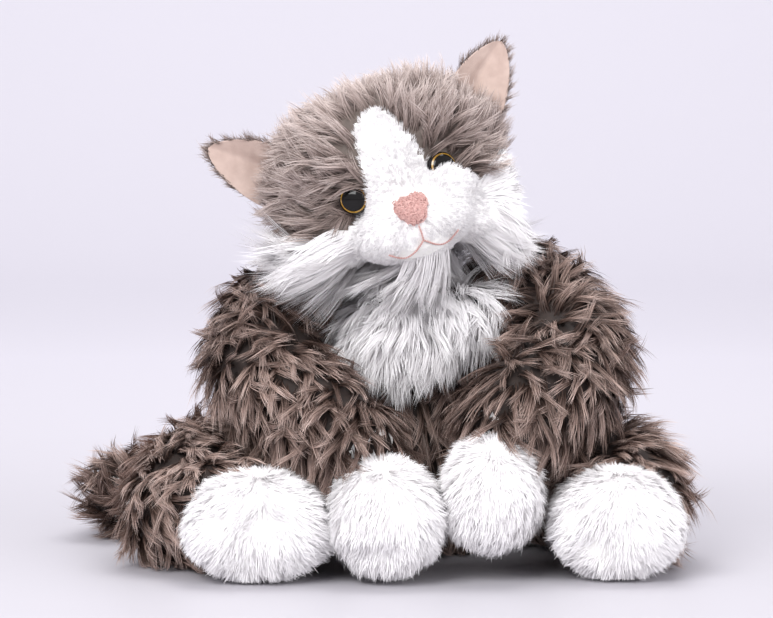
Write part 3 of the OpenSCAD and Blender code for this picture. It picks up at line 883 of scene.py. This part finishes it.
grow(
    "body_fur", "torso", S["torso"], dict(BROWN, per_mm2=0.042, length_at=near_neck), downwards, brown_fur,
    zone=lambda p, n: ~torso_white(p, n) & (n[:, 2] > -0.6),
    others=covers("arm_left", "arm_right", "leg_left", "leg_right", "tail", "head", "neck"),
)
BIB = dict(RUFF, length=24.0, lift=62, lift_var=14, droop=0.4, swirl=0.8, wave=28.0, curl=0.6)
grow(
    "chest_fur", "torso", S["torso"], BIB, downwards, white_fur,
    zone=torso_white, others=covers("arm_left", "arm_right"),
)
tail_tip = np.array([box_of("tail_cover")[0][0] - 20, box_of("tail_cover")[0][1] - 10, 48])
grow(
    "tail_fur", "tail", S["tail"], dict(BROWN, length=22.0, per_mm2=0.05), toward(tail_tip, 0.0), brown_fur,
    others=covers("torso", "leg_left"),
)

# ---- Zones and combs of the head ----

NAPE_Y = joint_at("head_turn")[1] + 2  # the neck is white before this and brown behind it
EYES = {side: middle(f"eye_{side}_lens") for side in ("left", "right")}


def from_eyes(p):
    """Distance from the nearer eye."""
    return np.min([np.linalg.norm(p - e, axis=1) for e in EYES.values()], axis=0)


def off_eyes(p, gap=6.8):
    return from_eyes(p) > gap


def face_zone(p, n):
    q = to_head(p)
    return inside(FACE, q[:, 0], q[:, 2]) & (q[:, 1] < -15)


def cheek_zone(p, n):
    q = to_head(p)
    edge = np.where(q[:, 0] > 0, -23 + np.clip(q[:, 0] - 36, 0, 40) * 0.5, -21)
    return ~face_zone(p, n) & (q[:, 2] < edge) & (q[:, 1] < 14) & off_eyes(p)


def crown_zone(p, n):
    return ~face_zone(p, n) & ~cheek_zone(p, n) & off_eyes(p)


def from_point(local, also=(0, 0, 0)):
    """Combs the pile away from a point of the head's own frame, and a little in the direction also."""
    push = HEAD_TURN @ np.array(also, float)
    return lambda p, n: along_skin(unit(p - from_head(local)) + push, n)


def painted_eye_shade_and_top_light(p):
    """Painted shade: darker round the sunk eyes. Painted light: lighter on the top of the head."""
    return -0.5 * (1 - smoothstep(from_eyes(p), 8, 17)) + 0.3 * smoothstep(to_head(p)[:, 2], 10, 34)


def mouth_gap(p):
    """Shorter by the nose and the mouth's thread."""
    d = np.full(len(p), 99.0)
    for path in MOUTH:
        for q in path:
            d = np.minimum(d, np.linalg.norm(p - q, axis=1))
    return 0.35 + 0.65 * smoothstep(d, 1.0, 3.0)


LEFT_TUFT = from_head((-76, -24, -22))  # where the tuft of the left cheek comes to a point


def cheek_comb(p, n):
    """The left cheek flows outwards and the right one up and outwards; under the chin it hangs."""
    q = to_head(p)
    up = 0.6 - 2.6 * (1 - smoothstep(q[:, 2], -44, -20))
    right = np.stack([np.ones(len(p)), np.full(len(p), -0.2), up], 1) @ HEAD_TURN.T
    back = smoothstep(q[:, 1:2], -12, 10) * (HEAD_TURN @ np.array([0, 1.6, 0.3]))
    v = np.where(q[:, 0:1] > 0, right, unit(LEFT_TUFT - p)) * smoothstep(np.abs(q[:, 0:1]), 4, 16) + back
    v[:, 2] -= 1 - smoothstep(np.abs(q[:, 0]), 8, 24)
    return along_skin(v, n)


def cheek_length(p):
    q = to_head(p)
    low = 0.5 + 0.4 * (1 - smoothstep(q[:, 2], -46, -34))
    out = np.where(q[:, 0] < 0, 1.0 + 0.25 * smoothstep(-q[:, 0], 20, 40), low)
    return out * np.where(np.abs(q[:, 0]) < 22, 1.2, 1.0)


# ---- Details of the face ----

# In the head's own frame
NOSE_Z, MOUTH_FROM, FORK, SMILE_W, SMILE_DIP = -23.5, -31.5, -38.4, 17.5, 4.3
NOSE_TOP, NOSE_BOTTOM, NOSE_HALF = 6.6, -7.4, 9.0  # from its middle
CURLS = 230  # stitches of the nose


def on_face(x, z, lift):
    """The point of the head's skin straight behind (x, z), raised off it."""
    start = from_head((x, -120, z))
    way = HEAD_TURN @ np.array([0, 1.0, 0])
    at, normal, _, _ = S["head"].tree.ray_cast(start.tolist(), way.tolist())
    return np.array(at) + np.array(normal) * lift


def smile(side, t):
    """One half of the mouth's curve, from the fork at t = 0 to its corner at t = 1."""
    return side * SMILE_W * t, FORK - SMILE_DIP * math.sin(math.pi * t) - 0.7 * t


MOUTH = [[on_face(0, MOUTH_FROM + (FORK - MOUTH_FROM) * t, 1.0) for t in np.linspace(0, 1, 8)]]
MOUTH += [[on_face(*smile(side, t), 1.1) for t in np.linspace(0, 1, 22)] for side in (-1, 1)]


def tube(path, radius, sides=6):
    """The points and faces of a round thread along a path, closed at both ends."""
    path = np.asarray(path, float)
    d = unit(np.gradient(path, axis=0))
    a = unit(np.cross(d, [0.13, 0.9, 0.41]))
    b = np.cross(d, a)
    ang = np.linspace(0, 2 * math.pi, sides, endpoint=False)
    r = np.full(len(path), radius)
    r[0] = r[-1] = radius * 0.5
    v = path[:, None] + r[:, None, None] * (
        np.cos(ang)[None, :, None] * a[:, None] + np.sin(ang)[None, :, None] * b[:, None]
    )
    faces = [
        (i * sides + k, i * sides + (k + 1) % sides, (i + 1) * sides + (k + 1) % sides, (i + 1) * sides + k)
        for i in range(len(path) - 1)
        for k in range(sides)
    ]
    faces += [tuple(range(sides))[::-1], tuple(range((len(path) - 1) * sides, len(path) * sides))]
    return v.reshape(-1, 3), faces


def joined(name, parts):
    """One object from several pairs of points and faces."""
    verts, faces, start = [], [], 0
    for v, f in parts:
        verts.append(v)
        faces += [tuple(i + start for i in face) for face in f]
        start += len(v)
    return mesh_object(name, np.concatenate(verts), faces)


pink_thread = noisy_material("pink_thread", (0.50, 0.27, 0.245), (0.68, 0.43, 0.395), 900, (0.5, 0.75), 0.3)


def twisted(path, radius, pitch=2.2):
    """Two strands wound round each other along a path."""
    path = np.asarray(path, float)
    dense = np.concatenate([np.linspace(a, b, 7)[:-1] for a, b in zip(path, path[1:])] + [path[-1:]])
    d = unit(np.gradient(dense, axis=0))
    a = unit(np.cross(d, [0.13, 0.9, 0.41]))
    b = np.cross(d, a)
    run = np.concatenate([[0], np.cumsum(np.linalg.norm(np.diff(dense, axis=0), axis=1))])
    for phase in (0, math.pi):
        w = (2 * math.pi * run / pitch + phase)[:, None]
        yield tube(dense + (np.cos(w) * a + np.sin(w) * b) * radius * 0.55, radius * 0.62)


mouth = joined("mouth_thread", [t for path in MOUTH for t in twisted(path, 0.42)])
mouth.data.materials.append(pink_thread)
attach(mouth, "head")
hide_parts("mouth_stitches")


def nose_half_width(z):
    """Half width of the nose at height z over its middle, a triangle with round corners."""
    t = np.clip((z - NOSE_BOTTOM) / (NOSE_TOP - NOSE_BOTTOM), 0, 1)
    sides = np.sqrt(np.clip(1 - (1 - t) ** 1.7, 0, 1))
    corners = np.sqrt(np.clip(1 - np.clip(t - 0.72, 0, 1) ** 2 / 0.085, 0, 1))
    return NOSE_HALF * sides * corners


def make_nose():
    """A padded pink triangle under a mat of small curly stitches."""
    rows, cols = 13, 15
    verts = []
    for z in np.linspace(NOSE_BOTTOM, NOSE_TOP, rows):
        half = max(float(nose_half_width(np.array([z]))[0]), 0.4)
        for u in np.linspace(-1, 1, cols):
            edge = max(abs(u), abs(z + 0.4) / 7.2)
            verts.append(on_face(u * half, NOSE_Z + z, 2.5 - 2.2 * edge**4))
    parts = [(np.array(verts), grid_faces(rows, cols))]
    count = 0
    while count < CURLS:
        x, z = rng.uniform(-NOSE_HALF, NOSE_HALF), rng.uniform(-7.2, 6.4)
        half = float(nose_half_width(np.array([z]))[0])
        if abs(x) > half - 0.5:
            continue
        count += 1
        edge = max(abs(x) / half, abs(z + 0.4) / 7.2)
        lift = 2.75 - 1.9 * edge**4
        r0, turn0 = rng.uniform(0.55, 0.95), rng.uniform(0, 6.28)
        ring = [
            on_face(
                x + r0 * math.cos(turn0 + a) * (1 + 0.12 * a / 5),
                NOSE_Z + z + r0 * math.sin(turn0 + a),
                lift + 0.22 * math.sin(a * 1.3),
            )
            for a in np.linspace(0, rng.uniform(4.2, 5.8), 9)
        ]
        parts.append(tube(ring, 0.25, 5))
    return joined("nose_stitches", parts)


nose = make_nose()
nose.data.materials.append(pink_thread)
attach(nose, "head")
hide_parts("nose")

eye_black = noisy_material(
    "eye_black", (0.003, 0.0025, 0.0025), (0.006, 0.0045, 0.004), 60, (0.06, 0.1), 0,
    Specular_IOR_Level=0.3,
)
eye_amber = noisy_material(
    "eye_amber", (0.22, 0.105, 0.01), (0.55, 0.31, 0.03), 260, (0.2, 0.35), 0, Coat_Weight=1.0
)
EYE_TURN = 18  # how far an eye looks to its side, in degrees


def eye_frame(side):
    """An eye's middle on its cup, and the axes across, up and out."""
    swing = turn("z", SIGN[side] * EYE_TURN)
    out, across = swing @ np.array([0, -1.0, 0]), swing @ np.array([1.0, 0, 0])
    at = np.array([SIGN[side] * 22, -39.6, -9]) + out * 1.6
    return from_head(at), HEAD_TURN @ across, HEAD_TURN @ np.array([0, 0, 1.0]), HEAD_TURN @ out


def dome(side, r0, r1, height, reach, steps, segments=48):
    """A band of a domed disc from radius r0 to r1."""
    at, across, up, out = eye_frame(side)
    verts, faces = [], []
    for r in np.linspace(r0, r1, steps):
        h = height * math.sqrt(max(0.0, 1 - (r / reach) ** 2))
        for a in np.linspace(0, 2 * math.pi, segments, endpoint=False):
            verts.append(at + across * r * math.cos(a) + up * r * math.sin(a) + out * h)
    for i in range(steps - 1):
        for k in range(segments):
            a, b = i * segments + k, i * segments + (k + 1) % segments
            faces.append((a, a + segments, b + segments, b))
    return np.array(verts), faces


for side in ("left", "right"):
    gloss = joined(f"eye_{side}_dome", [dome(side, 0.05, 7.5, 4.4, 7.52, 16)])
    gloss.data.materials.append(eye_black)
    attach(gloss, "head")
    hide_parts(f"eye_{side}_lens", f"eye_{side}_pupil")
    ring = joined(f"eye_{side}_ring", [dome(side, 5.75, 6.45, 4.46, 7.55, 3)])
    ring.data.materials.append(eye_amber)
    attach(ring, "head")
    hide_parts(f"eye_{side}_iris")


# ---- Fur of the head and the neck ----


def off_nose(p):
    q = to_head(p)
    z = q[:, 2] - NOSE_Z
    return ~((np.abs(q[:, 0]) < nose_half_width(z) - 0.8) & (np.abs(z) < 7) & (q[:, 1] < -40))


grow(
    "face_fur", "head", S["head"], dict(SHORT, length_at=mouth_gap), from_point((0, -62, -24)),
    face_white_painted_shade, zone=lambda p, n: face_zone(p, n) & off_nose(p),
)
grow(
    "crown_fur", "head", S["head"], dict(CROWN, shade_at=painted_eye_shade_and_top_light),
    from_point((0, -44, -14), (0, 0, 0.25)), crown_fur, zone=crown_zone,
    others=covers("neck", "torso"),
)
grow(
    "cheek_fur", "head", S["head"], dict(RUFF, length_at=cheek_length), cheek_comb, white_fur,
    zone=cheek_zone, others=covers("neck", "torso"),
)
grow(
    "neck_fur", "neck", S["neck"], dict(RUFF, length=24.0, lift=45), downwards, white_fur,
    zone=lambda p, n: p[:, 1] < NAPE_Y, others=covers("head", "torso", "arm_left", "arm_right"),
)
grow(
    "nape_fur", "neck", S["neck"], dict(BROWN, length=16.0, lift=35), downwards, brown_fur,
    zone=lambda p, n: p[:, 1] >= NAPE_Y, others=covers("head", "torso"),
)

# ---- Ears ----

velour = noisy_material(
    "ear_velour", (0.50, 0.37, 0.32), (0.62, 0.48, 0.42), 140, (0.75, 0.95), 0.35, 2200, Sheen_Weight=0.3
)
EAR_H, EAR_W, EAR_SLANT = 34.0, 30.0, 43  # millimetres and degrees
EAR_ROWS, EAR_COLS = 22, 25


def ear_basis(side):
    """The axes of an ear, whose own Z runs from root to tip."""
    return HEAD_TURN @ turn("y", SIGN[side] * EAR_SLANT)


def ear_sheet(side, offset):
    """A cupped ear as a grid of points. offset moves it back along the ear's own Y."""
    sign, basis = SIGN[side], ear_basis(side)
    at = joint_at(f"ear_{side}_fold")
    pts = []
    for v in np.linspace(0, 1, EAR_ROWS):
        half = EAR_W / 2 * max(1 - v**1.9, 0.0) ** 0.7 + 0.3
        z = -2.0 + v * (EAR_H + 1.5)
        for u in np.linspace(-1, 1, EAR_COLS):
            x = u * half + 1.2 * v * v * sign
            y = 1.5 - (8.5 - 3.5 * v) * u * u * (half / (EAR_W / 2)) - 4.0 * v * v
            y += 3.4 * math.exp(-(((u + 0.2 * sign) / 0.2) ** 2)) * (1 - v) ** 1.2
            pts.append(basis @ np.array([x, y + offset * (1 - 0.8 * max(abs(u), v) ** 4), z]) + at)
    return np.array(pts)


def ear_solid(name, side, front, back):
    """A closed cupped leaf between two offsets."""
    rows, cols = EAR_ROWS, EAR_COLS
    n = rows * cols
    faces = []
    for a, b, c, d in grid_faces(rows, cols):
        faces += [(a, b, c, d), (n + a, n + d, n + c, n + b)]
    rim = [r * cols for r in range(rows)] + [(rows - 1) * cols + c for c in range(1, cols)]
    rim += [r * cols + cols - 1 for r in range(rows - 2, -1, -1)] + list(range(cols - 2, 0, -1))
    for k, q in zip(rim, rim[1:] + rim[:1]):
        faces.append((k, k + n, q + n, q))
    obj = mesh_object(name, np.concatenate([ear_sheet(side, front), ear_sheet(side, back)]), faces)
    bm = bmesh.new()
    bm.from_mesh(obj.data)
    bmesh.ops.recalc_face_normals(bm, faces=bm.faces)
    bm.to_mesh(obj.data)
    bm.free()
    return obj


def ear_comb(side):
    """Combs the pile towards the ear's tip."""
    tip = ear_basis(side) @ np.array([0, 0, 1.0])
    return lambda p, n: along_skin(tip, n)


EAR_FUR = dict(
    CROWN, steps=3, length=7.5, lift=34, lock_r=1.2, per_lock=8, per_mm2=0.36, width=0.3, swirl=0.2,
    shade=(0.55, 0.25),
)
FORWARD = HEAD_TURN @ np.array([0, -1.0, 0])
for side in ("left", "right"):
    lining = ear_solid(f"ear_{side}_velour", side, -0.9, 0.3)
    lining.data.materials.append(velour)
    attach(lining, f"ear_{side}")
    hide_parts(f"ear_{side}_lining")
    shell = ear_solid(f"ear_{side}_shell", side, 0.3, 2.2)
    shell.data.materials.append(taupe_skin)
    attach(shell, f"ear_{side}")
    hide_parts(f"ear_{side}_back")
    grow(
        f"ear_{side}_fur", f"ear_{side}", Skin(shell), EAR_FUR, ear_comb(side), crown_fur,
        zone=lambda p, n: (n @ FORWARD) < 0.55,
    )

# ---- Plain pieces ----

FINISH = {
    **BACKING,
    "white_short_plush": white_skin,
    "ear_lining": velour,
    "pink_thread": pink_thread,
    "eye_black": eye_black,
    "eye_amber": eye_amber,
    "eye_clear": eye_black,
}
for slot, look in {
    "stuffing": ("fibre", (0.86, 0.85, 0.82), (0.93, 0.92, 0.90), 300, (0.85, 1.0), 0.6),
    "pellets": ("granules", (0.62, 0.65, 0.68), (0.78, 0.80, 0.82), 700, (0.35, 0.6), 0.8),
    "pouch_cloth": ("pouch_weave", (0.78, 0.74, 0.67), (0.86, 0.82, 0.76), 900, (0.8, 0.95), 0.5),
    "dark_thread": ("dark_thread", (0.04, 0.03, 0.025), (0.08, 0.06, 0.05), 900, (0.5, 0.8), 0.3),
    "washer_plastic": ("washer", (0.78, 0.78, 0.75), (0.86, 0.86, 0.84), 120, (0.35, 0.5), 0.1),
    "label_cloth": ("label_ribbon", (0.82, 0.81, 0.78), (0.9, 0.89, 0.86), 1500, (0.6, 0.8), 0.4),
}.items():
    FINISH[slot] = noisy_material(*look)
for part in frame["record"]["subparts"]:
    data = NODES[part["node"]].data
    data.materials.clear()
    data.materials.append(FINISH[part["material_slot"]])


def make_label():
    """A blank ribbon that hangs from the seam by the tail."""
    low, high = box_of("care_label")
    wide, tall = 13.0, 20.0
    along = unit(np.array([high[0] - low[0], -(high[1] - low[1]), 0.0]))
    out = np.array([-along[1], along[0], 0.0])
    top = np.array([low[0], high[1], high[2]]) + out * 0.4
    rows, cols = 21, 9
    front = []
    for r in range(rows):
        t = r / (rows - 1)
        for c in range(cols):
            u = c / (cols - 1)
            bow = 2.2 * math.sin(math.pi * t * 0.9) + 0.5 * math.sin(math.pi * u) * t
            front.append(top + along * wide * u + np.array([0, 0, -1.0]) * tall * t * 0.985 + out * bow)
    return mesh_object("care_label_ribbon", front, grid_faces(rows, cols))


label = make_label()
label.data.materials.append(FINISH["label_cloth"])
thick = label.modifiers.new("thickness", "SOLIDIFY")
thick.thickness = 0.35 * MM
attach(label, "torso")
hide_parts("care_label")

# The head's skin is white under the white pile
mesh = skins["head"].data
mesh.materials.append(white_skin)
centre = np.empty(len(mesh.polygons) * 3)
mesh.polygons.foreach_get("center", centre)
centre = centre.reshape(-1, 3) / MM
white = face_zone(centre, None) | cheek_zone(centre, None)
mesh.polygons.foreach_set("material_index", white.astype(np.int32))
